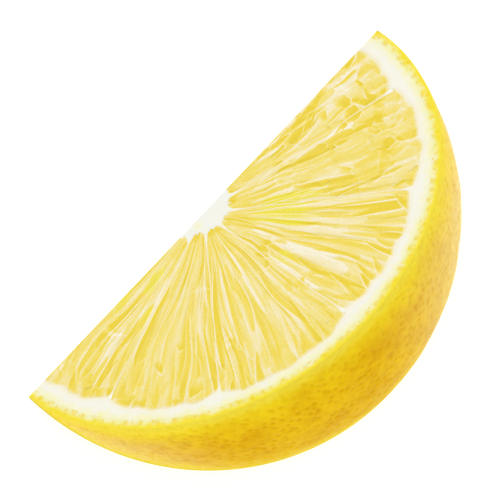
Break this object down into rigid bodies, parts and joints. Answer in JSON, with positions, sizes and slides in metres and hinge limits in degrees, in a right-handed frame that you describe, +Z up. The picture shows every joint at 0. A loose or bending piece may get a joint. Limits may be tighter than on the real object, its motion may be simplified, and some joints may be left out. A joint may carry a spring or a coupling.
{
  "type": "lemon wedge",
  "caption": "Cut wedge of fresh lemon with bare flesh on both cut faces and peel along its rounded back.",
  "frame": {"origin": "on the surface that the wedge lies on, in the middle of the wedge's bounding box", "axes": "+X along the thin straight edge, +Y from the thin edge towards the peel, +Z up"},
  "size_m": [0.06, 0.0302, 0.0212],
  "materials": {
    "peel": "satin, waxy, pored",
    "pith": "matte, spongy",
    "flesh": "wet, juicy"
  },
  "bodies": {
    "root": {"lemon_wedge": "peel"}
  },
  "joints": []
}
